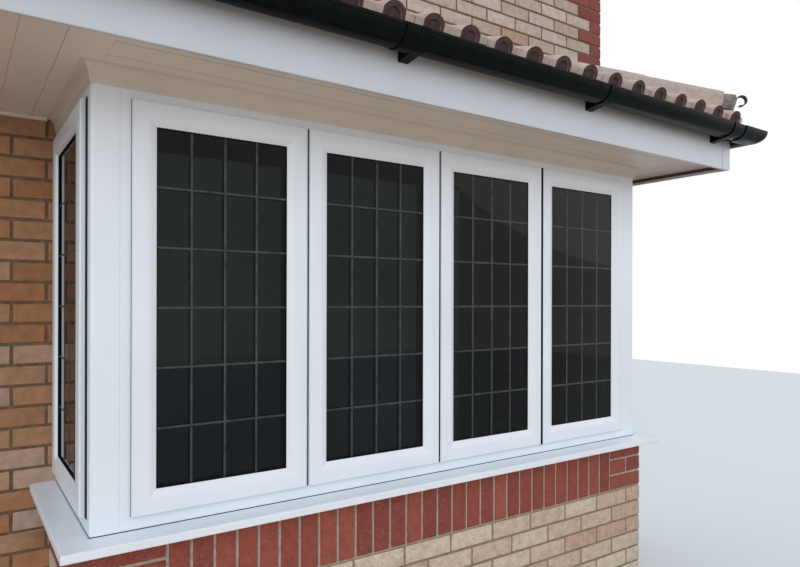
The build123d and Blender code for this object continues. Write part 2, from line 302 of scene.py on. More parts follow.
class Nodes:
    """The nodes of a material or of the sky, with short ways to add to them."""

    def __init__(self, owner):
        owner.use_nodes = True
        self.tree = owner.node_tree

    def link(self, value, socket):
        if isinstance(value, bpy.types.NodeSocket):
            self.tree.links.new(value, socket)
        else:
            socket.default_value = value

    def add(self, kind, inputs=None, **settings):
        node = self.tree.nodes.new(kind)
        for label, value in settings.items():
            setattr(node, label, value)
        for label, value in (inputs or {}).items():
            self.link(value, node.inputs[label])
        return node

    def mix(self, factor, first, second, how="MIX"):
        inputs = {0: factor, MIX_FIRST: first, MIX_SECOND: second}
        node = self.add("ShaderNodeMix", inputs, data_type="RGBA", blend_type=how)
        return node.outputs[MIX_RESULT]

    def seen_rays(self):
        """1 for rays of the eye, of gloss and through glass, 0 for rays that carry light."""
        path = self.add("ShaderNodeLightPath").outputs
        total = path["Is Camera Ray"]
        for name in ("Is Glossy Ray", "Is Transmission Ray"):
            inputs = {0: total, 1: path[name]}
            total = self.add("ShaderNodeMath", inputs, operation="MAXIMUM").outputs["Value"]
        return total


class Finish(Nodes):
    """A material, with patterns that are fixed to the bay."""

    def __init__(self, name, **values):
        self.material = bpy.data.materials.new(name)
        super().__init__(self.material)
        self.shader = self.tree.nodes["Principled BSDF"]
        for label, value in values.items():
            self.shader.inputs[label.replace("_", " ")].default_value = value
        self.place = self.add("ShaderNodeTexCoord").outputs["Object"]

    def noise(self, size, detail=3.0, stretch=(1.0, 1.0, 1.0)):
        """Cloudy pattern with blots of about one size, squeezed along each axis by stretch."""
        squeezed = self.add("ShaderNodeMapping", {"Vector": self.place, "Scale": stretch})
        inputs = {"Vector": squeezed.outputs["Vector"], "Scale": 1 / size, "Detail": detail}
        return self.add("ShaderNodeTexNoise", inputs).outputs["Fac"]

    def tone(self):
        """The value given to each brick or tile."""
        return self.add("ShaderNodeAttribute", attribute_name="tone").outputs["Fac"]

    def ramp(self, factor, stops):
        """Colour that runs through stops of (place, screen colour) as the factor rises."""
        node = self.add("ShaderNodeValToRGB", {"Fac": factor})
        elements = node.color_ramp.elements
        while len(elements) < len(stops):
            elements.new(0.5)
        for element, (place, colour) in zip(elements, stops):
            element.position = place
            element.color = srgb(*colour)
        return node.outputs["Color"]

    def drift(self, dark, pale, size, detail=5.0, spread=(0.3, 0.7)):
        """Colour that wanders between two screen colours in blots of about one size."""
        return self.ramp(self.noise(size, detail), [(spread[0], dark), (spread[1], pale)])

    def fade(self, factor, start, end):
        """Factor spread so that it rises from 0 to 1 between two of its values."""
        inputs = {"Value": factor, "From Min": start, "From Max": end}
        return self.add("ShaderNodeMapRange", inputs).outputs["Result"]

    def colour(self, value):
        self.link(value, self.shader.inputs["Base Color"])

    def roughness(self, factor, smooth, rough):
        inputs = {"Value": factor, "To Min": smooth, "To Max": rough}
        spread = self.add("ShaderNodeMapRange", inputs).outputs["Result"]
        self.link(spread, self.shader.inputs["Roughness"])

    def bump(self, height, depth):
        node = self.add("ShaderNodeBump", {"Height": height, "Distance": depth})
        self.link(node.outputs["Normal"], self.shader.inputs["Normal"])


CLOUD_SHADE = (0.72, 0.70, 0.68, 1.0)
# Near-black tints of the glass that paint the darkness seen through it
GLASS_DARK = (0.006, 0.009, 0.009, 1.0)
GLASS_PALE = (0.012, 0.015, 0.015, 1.0)


def brick_finish(name, stops, speckle):
    """Sandy brick: a tone for each brick, clouds inside it, fine grains and pits."""
    finish = Finish(name, Roughness=0.88)
    body = finish.ramp(finish.tone(), stops)
    clouds = finish.fade(finish.noise(size=0.035, detail=4.0), start=0.35, end=0.75)
    grains = finish.fade(finish.noise(size=0.0035, detail=2.0), start=0.56, end=0.72)
    body = finish.mix(clouds, body, CLOUD_SHADE, "MULTIPLY")
    finish.colour(finish.mix(grains, body, srgb(*speckle)))
    finish.bump(finish.noise(size=0.004, detail=4.0), depth=0.0012)
    return finish


def plastic_finish(name, clean, dull, smooth, rough):
    """Moulded white plastic with a faint cloudy weathering and a fine surface."""
    finish = Finish(name, Specular_IOR_Level=0.4)
    finish.colour(finish.drift(dull, clean, size=0.30, detail=2.0, spread=(0.25, 0.75)))
    finish.roughness(finish.noise(size=0.05, detail=2.0), smooth, rough)
    finish.bump(finish.noise(size=0.002, detail=2.0), depth=0.00002)
    return finish


def glass_finish():
    """Clear glass tinted near black to paint the darkness seen through it, with soft clouds between
    two such tints and the faint waviness of a sealed unit.
    """
    surface = {"Roughness": 0.0, "IOR": 1.24, "Transmission_Weight": 1.0}
    finish = Finish("clear_glass", Specular_IOR_Level=0.11, **surface)
    clouds = finish.fade(finish.noise(size=0.6, detail=2.0), start=0.3, end=0.7)
    finish.colour(finish.mix(clouds, GLASS_DARK, GLASS_PALE))
    finish.bump(finish.noise(size=0.35, detail=1.0), depth=0.0004)
    return finish


def wood_finish(name, pale, dark, grain_depth):
    """Wood or painted wood with its grain along the boards."""
    finish = Finish(name, Roughness=0.5)
    grain = finish.noise(size=0.012, detail=5.0, stretch=(0.08, 1.0, 1.0))
    finish.colour(finish.ramp(grain, [(0.3, dark), (0.7, pale)]))
    finish.bump(grain, grain_depth)
    return finish


def matte_finish(name, pale, dark, size, grain, depth, roughness=0.9):
    """Plain matte surface with soft clouds and a fine grain."""
    finish = Finish(name, Roughness=roughness)
    finish.colour(finish.drift(dark, pale, size))
    finish.bump(finish.noise(grain), depth)
    return finish


def mortar_finish(name, pale, dark):
    return matte_finish(name, pale, dark, size=0.02, grain=0.003, depth=0.0015, roughness=0.95)


def tile_finish(name, body, painted_shade):
    """Sanded concrete tile, from its body's pair of colours at tone 0 to a darker pair at 1: the
    tile's own colour with painted shade.
    """
    finish = Finish(name, Roughness=0.85)
    pale = finish.drift(*body, size=0.04)
    dark = finish.drift(*painted_shade, size=0.03)
    finish.colour(finish.mix(finish.tone(), pale, dark))
    finish.bump(finish.noise(size=0.003), depth=0.001)
    return finish


def shiny_finish(name, body, wear, metallic, smooth, rough, gloss=0.5):
    """Smooth metal or glossy plastic with faint wear."""
    finish = Finish(name, Metallic=metallic, Specular_IOR_Level=gloss)
    marks = finish.noise(size=0.03, detail=5.0)
    finish.colour(finish.ramp(marks, [(0.35, body), (0.75, wear)]))
    finish.roughness(marks, smooth, rough)
    finish.bump(finish.noise(size=0.02), depth=0.0003)
    return finish


# After its colours, a matte finish has the sizes of its clouds and grain and the grain's depth,
# a plastic one its range of roughness, a wooden one the depth of its grain, and a shiny one
# how far it is metal, its range of roughness and its gloss.
BASE_BRICK = brick_finish(
    "base_brick",
    [
        (0.0, (213, 198, 178)), (0.3, (206, 187, 166)), (0.6, (200, 174, 154)),
        (0.8, (190, 158, 136)), (1.0, (176, 108, 80)),
    ],
    (120, 102, 90),
)
SOLDIER_BRICK = brick_finish(
    "soldier_brick",
    [(0.0, (152, 78, 62)), (0.5, (140, 66, 52)), (1.0, (120, 57, 47))],
    (166, 106, 90),
)
# The warm, dark end of the house brick's colours paints the warm shade beside the bay
HOUSE_BRICK = brick_finish(
    "house_brick",
    [
        (0.0, (202, 184, 172)), (0.35, (188, 164, 148)), (0.5, (178, 138, 108)),
        (0.75, (168, 118, 80)), (1.0, (154, 98, 62)),
    ],
    (122, 92, 72),
)
SAND_MORTAR = mortar_finish("sand_mortar", (176, 164, 150), (146, 134, 122))
BASE_MORTAR = mortar_finish("base_mortar", (150, 130, 112), (120, 100, 84))
# The house mortar's dark brown is partly its own colour and partly painted warm shade
HOUSE_MORTAR = mortar_finish("house_mortar", (122, 98, 76), (92, 70, 52))
BEDDING = mortar_finish("bedding", (152, 138, 130), (92, 80, 76))
CONCRETE = matte_finish("concrete", (196, 194, 190), (172, 170, 166), 0.10, 0.005, 0.0008)
PLASTER = matte_finish("plaster", (226, 222, 214), (216, 212, 204), 0.30, 0.015, 0.0003)
UPVC = plastic_finish("upvc", (229, 234, 240), (224, 229, 235), 0.26, 0.32)
# The fascia is darker than the window plastic to paint the shade it lies in
FASCIA = plastic_finish("fascia_board", (205, 209, 215), (197, 201, 207), 0.28, 0.36)
# Soffit and head trim are white plastic tinted warm to paint the warm light thrown up from the
# ground, the trim most of all
SOFFIT = plastic_finish("soffit_board", (234, 226, 217), (227, 219, 210), 0.40, 0.50)
COVE = plastic_finish("head_trim", (222, 214, 203), (214, 206, 195), 0.36, 0.44)
GLASS = glass_finish()
PAINTED_BOARD = wood_finish("painted_board", (232, 232, 228), (224, 224, 220), 0.0002)
TIMBER = wood_finish("timber", (198, 164, 118), (160, 124, 82), 0.0006)
# Dark timber that paints the shade in the gap over the fascia's fold
SHADED_TIMBER = wood_finish("shaded_timber", (92, 72, 60), (66, 50, 42), 0.0006)
# Tone 1 of each tile is painted shade: on the roll ends and fillers of the roof, and down the sides
# of the hip tiles
ROOF_TILE = tile_finish(
    "roof_tile", body=((168, 146, 136), (202, 181, 171)), painted_shade=((56, 38, 35), (78, 56, 50)),
)
HIP_TILE = tile_finish(
    "hip_tile", body=((188, 166, 156), (216, 196, 186)), painted_shade=((160, 138, 128), (184, 162, 152)),
)
LEAD = shiny_finish("lead", (118, 120, 126), (150, 152, 156), 0.6, 0.45, 0.65)
CAME_LEAD = shiny_finish("came_lead", (44, 46, 48), (74, 76, 78), 0.5, 0.40, 0.60)
BLACK_PLASTIC = shiny_finish("gutter_plastic", (8, 12, 13), (15, 20, 20), 0.0, 0.15, 0.30, 0.05)
# Black rubber for the gaskets, and also for the strips that paint shade in the gaps and at the
# frames' foot
GASKET_AND_SHADE_RUBBER = shiny_finish("gasket_rubber_and_painted_shade", (8, 8, 9), (18, 18, 19), 0.0, 0.50, 0.70, 0.05)
BRASS = shiny_finish("brass", (214, 170, 88), (186, 140, 66), 1.0, 0.15, 0.30)
BLACK_IRON = shiny_finish("black_iron", (26, 25, 25), (66, 50, 42), 0.3, 0.55, 0.80)


# Ways of making shapes

class Shape:
    """Points and faces of one piece while it is put together."""

    def __init__(self):
        self.points = []
        self.faces = []
        self.tones = []

    def add(self, points, faces, tones):
        start = len(self.points)
        self.points += [tuple(point) for point in points]
        self.faces += [tuple(start + index for index in face) for face in faces]
        self.tones += tones

    def loft(self, loops, tone=0.5, ring=False, tones=None):
        """Skin over loops of equally many points, closed at its ends or joined to a ring."""
        count = len(loops[0])
        points = [point for loop in loops for point in loop]
        faces = []
        for step in range(len(loops) if ring else len(loops) - 1):
            near = step * count
            far = (step + 1) % len(loops) * count
            for index in range(count):
                after = (index + 1) % count
                faces.append((near + index, near + after, far + after, far + index))
        if not ring:
            faces.append(tuple(range(count)))
            faces.append(tuple(len(points) - count + index for index in range(count)))
        self.add(points, faces, tones or [tone] * len(faces))

    def sweep(self, section, stations, tone=0.5):
        """Carry a section of (outset, height) points from station to station."""
        loops = [[(*station(outset), height) for outset, height in section] for station in stations]
        self.loft(loops, tone)

    def block(self, start, end, chamfer, jitter=0.0, tone=0.5):
        """Box with chamfered edges between two corners, a little out of true by jitter."""
        middle = [(first + last) / 2 for first, last in zip(start, end)]
        half = [abs(last - first) / 2 for first, last in zip(start, end)]
        points = []
        for signs in CORNERS:
            for axis in AXES:
                inset = [0.0 if other == axis else chamfer for other in AXES]
                points.append([
                    middle[other] + signs[other] * (half[other] - inset[other])
                    + chance.uniform(-jitter, jitter)
                    for other in AXES
                ])
        self.add(points, BLOCK_FACES, [tone] * len(BLOCK_FACES))


CORNERS = [(x, y, z) for x in SIDES for y in SIDES for z in SIDES]
CORNER_STEPS = (4, 2, 1)


def block_faces():
    """Faces of a chamfered box whose corners have three points each."""
    faces = [tuple(3 * corner + axis for axis in AXES) for corner in range(len(CORNERS))]
    for axis, step in enumerate(CORNER_STEPS):
        first, second = [other for other in AXES if other != axis]
        one, two = CORNER_STEPS[first], CORNER_STEPS[second]
        for start in (0, step):
            face = [start, start + one, start + one + two, start + two]
            faces.append(tuple(3 * corner + axis for corner in face))
        for near in (0, two, one, one + two):
            edge = ((near, first), (near, second), (near + step, second), (near + step, first))
            faces.append(tuple(3 * corner + other for corner, other in edge))
    return faces


BLOCK_FACES = block_faces()


def sided(side, near, far):
    """Extent along x between two distances from the bay's middle, on one side of it."""
    return sorted((side * near, side * far))


def slab(shape, x_range, y_range, z_range, chamfer=PLASTER_CHAMFER):
    """Plain block between its extents along the three axes."""
    shape.block(*zip(x_range, y_range, z_range), chamfer)


def placed(name, data):
    """New object in the scene."""
    made = bpy.data.objects.new(name, data)
    scene.collection.objects.link(made)
    return made


def piece(name, shape, finish, replaced=(), cuts=(), smooth=35):
    """Make one object of the bay, trimmed by planes of (place, outward direction)."""
    mesh = bpy.data.meshes.new(name)
    mesh.from_pydata(shape.points, [], shape.faces)
    tones = mesh.attributes.new("tone", "FLOAT", "FACE")
    tones.data.foreach_set("value", shape.tones)
    work = bmesh.new()
    work.from_mesh(mesh)
    for place, outward in cuts:
        everything = work.verts[:] + work.edges[:] + work.faces[:]
        cut = bmesh.ops.bisect_plane(
            work, geom=everything, plane_co=place, plane_no=outward, clear_outer=True,
        )
        edges = [item for item in cut["geom_cut"] if isinstance(item, bmesh.types.BMEdge)]
        bmesh.ops.edgeloop_fill(work, edges=edges)
    bmesh.ops.recalc_face_normals(work, faces=work.faces[:])
    work.to_mesh(mesh)
    work.free()
    mesh.shade_smooth()
    mesh.set_sharp_from_angle(angle=radians(smooth))
    mesh.materials.append(finish.material)
    made = placed(name, mesh)
    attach(made, "root")
    if replaced:
        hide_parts(*replaced)


def arc(middle, radius, start, end, steps=CURVE_STEPS, stretch=1.0):
    """Points from one angle in degrees to another, with the second axis stretched."""
    angles = [radians(start + (end - start) * step / steps) for step in range(steps + 1)]
    height = radius * stretch
    return [(middle[0] + radius * cos(a), middle[1] + height * sin(a)) for a in angles]


# Stations that a section is carried through

def side_station(side, y):
    return lambda outset: (side * (HALF + outset), y)


def corner_station(side):
    return lambda outset: (side * (HALF + outset), FRONT_Y - outset)


def front_station(x):
    return lambda outset: (x, FRONT_Y - outset)


ROUND_BAY = [side_station(-1, 0.0), corner_station(-1), corner_station(1), side_station(1, 0.0)]


def rectangle(near, far, bottom, top):
    """Section of a plain slab."""
    return [(near, bottom), (far, bottom), (far, top), (near, top)]


def round_piece(name, section, finish, replaced=()):
    """Piece with one section all round the bay."""
    shape = Shape()
    shape.sweep(section, ROUND_BAY)
    piece(name, shape, finish, replaced)


# Brickwork

def joints_between(first_joint, pitch, start, end):
    """Middles of the joints of one course that leave no sliver at its ends."""
    steps = math.floor((start - first_joint) / pitch)
    joint = first_joint + steps * pitch
    places = []
    while joint < end - SHORTEST_BRICK:
        if joint > start + SHORTEST_BRICK:
            places.append(joint)
        joint += pitch
    return places


def spans(start, end, joints):
    """Extents of the bricks between the two ends of a course."""
    starts = [start] + [joint + JOINT / 2 for joint in joints]
    ends = [joint - JOINT / 2 for joint in joints] + [end]
    return list(zip(starts, ends))


def course_levels(course):
    return course * COURSE + JOINT / 2, (course + 1) * COURSE - JOINT / 2


def lay(shape, x_range, y_range, z_range, tone):
    """Lay one brick."""
    shape.block(*zip(x_range, y_range, z_range), BRICK_CHAMFER, BRICK_JITTER, tone)


def corner_depth(x_range):
    """Depth of a brick at a corner, where one that shows its end in front is a stretcher."""
    return STRETCHER if x_range[1] - x_range[0] < BRICK_PITCH / 2 else HEADER


def base_tone(course, x):
    """Buff bricks, with orange ones among the lower courses to the right."""
    if course < ORANGE_COURSES and x > ORANGE_START and chance.random() < ORANGE_SHARE:
        return chance.uniform(*ORANGE_TONES)
    return chance.uniform(*BUFF_TONES)


def base_side_course(shape, side, course, first_y, z_range):
    """Bricks of one course along one side of the bay's base."""
    joints = joints_between(first_y - JOINT / 2 + BRICK_PITCH, BRICK_PITCH, first_y, 0.0)
    for y_range in spans(first_y, 0.0, joints):
        tone = base_tone(course, side * HALF)
        lay(shape, sided(side, HALF - HEADER, HALF), y_range, z_range, tone)


def base_course(shape, course):
    """One course round the bay's base, with headers and stretchers in turn at its corners."""
    z_range = course_levels(course)
    right_joint = HALF - (HEADER if course % 2 == 0 else STRETCHER) - JOINT / 2
    bricks = spans(-HALF, HALF, joints_between(right_joint, BRICK_PITCH, -HALF, HALF))
    for index, x_range in enumerate(bricks):
        at_corner = index in (0, len(bricks) - 1)
        depth = corner_depth(x_range) if at_corner else HEADER
        y_range = (FRONT_Y, FRONT_Y + depth)
        lay(shape, x_range, y_range, z_range, base_tone(course, x_range[0]))
        if at_corner:
            side = -1 if index == 0 else 1
            base_side_course(shape, side, course, FRONT_Y + depth + JOINT, z_range)


def base_bricks():
    shape = Shape()
    for course in range(round(SOLDIER_FOOT / COURSE)):
        base_course(shape, course)
    nodes = ("base_wall_front", "base_wall_left", "base_wall_right")
    piece("base_bricks", shape, BASE_BRICK, nodes)


def soldier_bricks():
    """Upright bricks under the sill, laid a little wider to the right, between corner blocks."""
    shape = Shape()
    bottom = SOLDIER_FOOT + JOINT / 2
    top = BASE_TOP - SOLDIER_TOP_GAP
    corner_width = HALF - SOLDIER_RUN_HALF
    count = round(2 * SOLDIER_RUN_HALF / SOLDIER_PITCH)
    first_pitch = SOLDIER_PITCH - count * SOLDIER_DRIFT
    joints = [
        -SOLDIER_RUN_HALF + index * (first_pitch + index * SOLDIER_DRIFT)
        for index in range(count + 1)
    ]
    for x_range in spans(-SOLDIER_RUN_HALF, SOLDIER_RUN_HALF, joints)[1:-1]:
        lay(shape, x_range, (FRONT_Y, FRONT_Y + HEADER), (bottom, top), chance.random())
    side_start = FRONT_Y + corner_width
    side_count = round(-side_start / SOLDIER_PITCH)
    side_joints = [side_start * (1 - index / side_count) for index in range(side_count)]
    height = (top - bottom + JOINT) / CORNER_COURSES
    for side in SIDES:
        for y_range in spans(side_start, 0.0, side_joints)[1:]:
            lay(shape, sided(side, HALF - HEADER, HALF), y_range, (bottom, top), chance.random())
        for index in range(CORNER_COURSES):
            z_range = (bottom + index * height, bottom + (index + 1) * height - JOINT)
            corner_block(shape, side, z_range, corner_width - JOINT / 2, index == 1)
    nodes = ("soldier_course_front", "soldier_course_left", "soldier_course_right")
    piece("soldier_bricks", shape, SOLDIER_BRICK, nodes)


def corner_block(shape, side, z_range, width, headers):
    """One course of a corner block: a stretcher in front, or a header beside another."""
    wide = [(HALF - width, HALF)]
    if headers:
        wide = [(HALF - HEADER, HALF), (HALF - width, HALF - HEADER - JOINT)]
    for index, (near, far) in enumerate(wide):
        depth = width if headers and index == 0 else HEADER
        y_range = (FRONT_Y, FRONT_Y + depth)
        lay(shape, sided(side, near, far), y_range, z_range, chance.random())
    if not headers:
        y_range = (FRONT_Y + HEADER + JOINT, FRONT_Y + width)
        lay(shape, sided(side, HALF - HEADER, HALF), y_range, z_range, chance.random())


def wall_tone(course):
    """Pale bricks over the bay, and beside it warmer, darker ones that paint the warm shade there
    and grow paler to the ground.
    """
    share = course * COURSE / SOFFIT_LEVEL
    if share > 1:
        return chance.uniform(*UPPER_WALL_TONES)
    tones = [foot + rise * share for foot, rise in zip(SHADED_WALL_FOOT_TONES, WALL_SHADE_RISE)]
    return chance.uniform(*tones)


def wall_end(shape, side, course, x_range, z_range, tone):
    """Bricks on the end face of the house wall, behind the one laid in front."""
    depth = corner_depth(x_range)
    lay(shape, x_range, (0.0, depth), z_range, tone)
    back_y = (depth + JOINT, WALL_BACK - PLASTER_DEPTH)
    lay(shape, sided(side, WALL_HALF - HEADER, WALL_HALF), back_y, z_range, wall_tone(course))


def wall_course(shapes, course, start, end, first_joint):
    """One course of the house wall between two places along it."""
    z_range = course_levels(course)
    joints = joints_between(first_joint, BRICK_PITCH, start, end)
    quoin = QUOIN_WIDTHS[course // QUOIN_COURSES % 2]
    for x_range in spans(start, end, joints):
        red = x_range[0] > WALL_HALF - quoin
        shape = shapes["red" if red else "plain"]
        tone = chance.uniform(*QUOIN_TONES) if red else wall_tone(course)
        if x_range[1] == WALL_HALF:
            wall_end(shape, 1, course, x_range, z_range, tone)
        elif x_range[0] == -WALL_HALF:
            wall_end(shape, -1, course, x_range, z_range, tone)
        else:
            lay(shape, x_range, (0.0, HEADER), z_range, tone)


def house_bricks():
    """Brick face of the house wall beside the bay and over it."""
    shapes = {"plain": Shape(), "red": Shape()}
    for course in range(round(WALL_TOP / COURSE)):
        middle = (course + 0.5) * COURSE
        left_joint = LEFT_WALL_JOINT - (0.0 if course % 2 else BRICK_PITCH / 2)
        right_joint = WALL_HALF - JOINT / 2 - (STRETCHER if course % 2 else HEADER)
        if middle > LINTEL_TOP:
            wall_course(shapes, course, -WALL_HALF, WALL_HALF, right_joint)
        else:
            beside = middle < SOFFIT_LEVEL
            inner = WALL_INNER if beside else LINTEL_HALF + JOINT
            first_joint = left_joint if beside else right_joint
            wall_course(shapes, course, -WALL_HALF, -inner, first_joint)
            wall_course(shapes, course, inner, WALL_HALF, right_joint)
    nodes = ("house_wall_left", "house_wall_right", "house_wall_upper")
    piece("house_bricks", shapes["plain"], HOUSE_BRICK, nodes)
    piece("quoin_bricks", shapes["red"], SOLDIER_BRICK)


def base_core():
    """Mortar behind the bay's bricks, and the plaster on its room side."""
    inner = INNER_OUTSET + PLASTER_DEPTH
    mortar = rectangle(inner, -JOINT_RECESS, 0.0, SOLDIER_FOOT)
    round_piece("base_mortar", mortar, BASE_MORTAR)
    pale = rectangle(inner, -JOINT_RECESS, SOLDIER_FOOT, BASE_TOP)
    round_piece("soldier_mortar", pale, SAND_MORTAR)
    plaster = rectangle(INNER_OUTSET, inner, FLOOR_TOP, BASE_TOP)
    round_piece("bay_plaster", plaster, PLASTER)


def wall_slabs(shape, inner, end, depths, top, chamfer=PLASTER_CHAMFER):
    """Slabs of the house wall beside its opening, beside the lintel and over both."""
    for side in SIDES:
        slab(shape, sided(side, inner, end), depths, (0.0, SOFFIT_LEVEL), chamfer)
        slab(shape, sided(side, LINTEL_HALF, end), depths, (SOFFIT_LEVEL, LINTEL_TOP), chamfer)
    slab(shape, (-end, end), depths, (LINTEL_TOP, top), chamfer)


def house_core():
    """Mortar behind the bricks of the house wall."""
    shape = Shape()
    inner = OPENING_HALF + PLASTER_DEPTH
    end = WALL_HALF - JOINT_RECESS
    depths = (JOINT_RECESS, WALL_BACK - PLASTER_DEPTH)
    wall_slabs(shape, inner, end, depths, WALL_TOP - JOINT_RECESS, CORE_CHAMFER)
    piece("house_mortar", shape, HOUSE_MORTAR)


def house_plaster():
    """Plaster on the room side of the house wall, round its opening and inside the bay."""
    shape = Shape()
    back = WALL_BACK - PLASTER_DEPTH
    reveal = OPENING_HALF + PLASTER_DEPTH
    bay_inner = HALF + FACE_OUTSET - FRAME_DEPTH
    wall_slabs(shape, OPENING_HALF, WALL_HALF, (back, WALL_BACK), WALL_TOP)
    for side in SIDES:
        slab(shape, sided(side, OPENING_HALF, reveal), (0.0, back), (FLOOR_TOP, SOFFIT_LEVEL))
        slab(shape, sided(side, reveal, bay_inner), (0.0, JOINT_RECESS), (BASE_TOP, SOFFIT_LEVEL))
    piece("house_plaster", shape, PLASTER)


# Sill, posts, head trim and eaves boards

def sill():
    """Outer sill with a rounded nose and a fine groove at the foot of the frames."""
    nose = SILL_OVERHANG - SILL_ROUNDING
    nose_top = SILL_TOP - SILL_FALL
    foot = BASE_TOP - SILL_NOSE_DROP
    back = FACE_OUTSET - FRAME_DEPTH
    section = [
        (back, BASE_TOP),
        (SILL_OVERHANG - SILL_NOSE, BASE_TOP),
        (SILL_OVERHANG - SILL_NOSE, foot),
        *arc((nose, foot + SILL_ROUNDING), SILL_ROUNDING, -90, 0),
        *arc((nose, nose_top - SILL_ROUNDING), SILL_ROUNDING, 0, 90),
        (FACE_OUTSET + 2 * SILL_GROOVE, SILL_TOP),
        (FACE_OUTSET + SILL_GROOVE, SILL_TOP - SILL_GROOVE),
        (FACE_OUTSET, SILL_TOP),
        (back, SILL_TOP),
    ]
    round_piece("outer_sill", section, UPVC, ("sill_front", "side_sills"))


def post_plan():
    """Plan of the right corner post, with a rounded corner and a fine joint by the frame."""
    inner = FACE_X - POST_WIDTH
    rounding = (FACE_X - POST_ROUNDING, FACE_Y + POST_ROUNDING)
    return [
        (inner, FACE_Y + POST_JOINT),
        (inner + POST_JOINT, FACE_Y),
        *arc(rounding, POST_ROUNDING, -90, 0),
        (FACE_X, FACE_Y + POST_RETURN),
        (FACE_X - FRAME_DEPTH, FACE_Y + POST_RETURN),
        (FACE_X - FRAME_DEPTH, FACE_Y + FRAME_DEPTH),
        (inner, FACE_Y + FRAME_DEPTH),
    ]


def posts():
    shape = Shape()
    for side in SIDES:
        shape.loft([
            [(side * x, y, height) for x, y in post_plan()]
            for height in (SILL_TOP, FRAME_TOP)
        ])
    piece("posts", shape, UPVC, ("corner_posts",))


def head_trim():
    """Hollowed trim between the window heads and the soffit, with fine steps at its foot."""
    section = [(FACE_OUTSET, SOFFIT_LEVEL), (FACE_OUTSET, FRAME_TOP)]
    outset = FACE_OUTSET
    height = FRAME_TOP
    for _ in range(COVE_STEPS):
        outset += COVE_STEP_DEPTH
        section += [(outset, height), (outset, height + COVE_STEP_HEIGHT)]
        height += COVE_STEP_HEIGHT
    edge = FACE_OUTSET + COVE_WIDTH
    stretch = (SOFFIT_LEVEL - height) / (edge - outset)
    section += arc((edge, height), edge - outset, 180, 90, COVE_CURVE_STEPS, stretch)[1:]
    round_piece("head_trim", section, COVE, ("head_trim_front", "side_head_trims"))


def soffit_section(near):
    """Section of the soffit boards from an outset to their edge, with a groove at each joint."""
    section = [(near, SOFFIT_LEVEL)]
    for joint in BOARD_JOINTS:
        for side in SIDES:
            edge = joint + side * BOARD_GROOVE_WIDTH / 2
            levels = (SOFFIT_LEVEL, SOFFIT_LEVEL + BOARD_GROOVE_DEPTH)
            section += [(edge, level) for level in levels[::-side]]
    return section + [
        (SOFFIT_EDGE, SOFFIT_LEVEL),
        (SOFFIT_EDGE, SOFFIT_LEVEL + SOFFIT_THICKNESS),
        (near, SOFFIT_LEVEL + SOFFIT_THICKNESS),
    ]


def soffit():
    """Soffit boards; those of the sides run on to the front fascia past the front ones."""
    shape = Shape()
    end = HALF + BOARD_END - BOARD_GAP
    shape.sweep(soffit_section(FACE_OUTSET), [front_station(-end), front_station(end)])
    for side in SIDES:
        corner = side_station(side, FACE_Y)
        shape.sweep(soffit_section(FACE_OUTSET), [side_station(side, 0.0), corner])
        shape.sweep(soffit_section(BOARD_END), [corner, side_station(side, FRONT_Y - SOFFIT_EDGE)])
    nodes = ("soffit_front", "side_soffits")
    piece("soffit_boards", shape, SOFFIT, nodes, smooth=20)


def pan_level(outset):
    """Height of the tiles' pans at an outset."""
    return EAVES_LEVEL + (TILE_OUTSET - outset) * ROOF_SLOPE


def fascia():
    """Fascia sheet with its foot folded inwards, and a dark timber strip over the fold that paints
    the shade in the gap there.
    """
    sheet = FASCIA_OUTSET - FASCIA_SHEET
    fold = FASCIA_OUTSET - FASCIA_RETURN
    fold_top = FASCIA_FOOT + FASCIA_RETURN_HEIGHT
    middle = (FASCIA_OUTSET - FASCIA_ROUNDING, FASCIA_FOOT + FASCIA_ROUNDING)
    section = [
        (fold, FASCIA_FOOT),
        *arc(middle, FASCIA_ROUNDING, -90, 0),
        (FASCIA_OUTSET, pan_level(FASCIA_OUTSET) - CAD_TILE_DEPTH),
        (sheet, pan_level(sheet) - CAD_TILE_DEPTH),
        (sheet, fold_top),
        (fold, fold_top),
    ]
    nodes = ("fascia_front", "side_fascias")
    round_piece("fascia_boards", section, FASCIA, nodes)
    backing = rectangle(SOFFIT_EDGE, sheet, fold_top, SOFFIT_LEVEL)
    round_piece("fascia_backing", backing, SHADED_TIMBER)


# Windows

FRONT_SASHES = ["front_sash_" + str(number) for number in range(1, 5)]
SASHES = [*FRONT_SASHES, "left_sash", "right_sash"]


class Light:
    """Outline of one sash, with its proud face as depth 0 and depths going inwards."""

    def __init__(self, node):
        self.start, self.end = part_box(node)
        size = self.end - self.start
        self.in_front = node in FRONT_SASHES
        self.width = size.x if self.in_front else size.y
        self.height = size.z
        self.side = math.copysign(1, self.start.x)

    def point(self, across, up, depth):
        """Place at a distance along the sash, up it and behind its proud face."""
        if self.in_front:
            return (self.start.x + across, self.start.y + depth, self.start.z + up)
        outer = self.end.x if self.side > 0 else self.start.x
        return (outer - self.side * depth, self.start.y + across, self.start.z + up)

    def ring(self, shape, profile):
        """Mitred ring round the sash from a profile of (inset, depth) points."""
        loops = []
        for right, top in ((0, 0), (1, 0), (1, 1), (0, 1)):
            loop = []
            for inset, depth in profile:
                across = self.width - inset if right else inset
                up = self.height - inset if top else inset
                loop.append(self.point(across, up, depth))
            loops.append(loop)
        shape.loft(loops, ring=True)


LIGHTS = [Light(node) for node in SASHES]


def bevel_points(width):
    """Gently rounded slope from the face of a sash down to the glass."""
    points = []
    for step in range(CURVE_STEPS + 1):
        share = step / CURVE_STEPS
        inset = STILE_WIDTH - width * (1 - share)
        points.append((inset, BEVEL_DEPTH * share ** BEVEL_CURVE))
    return points


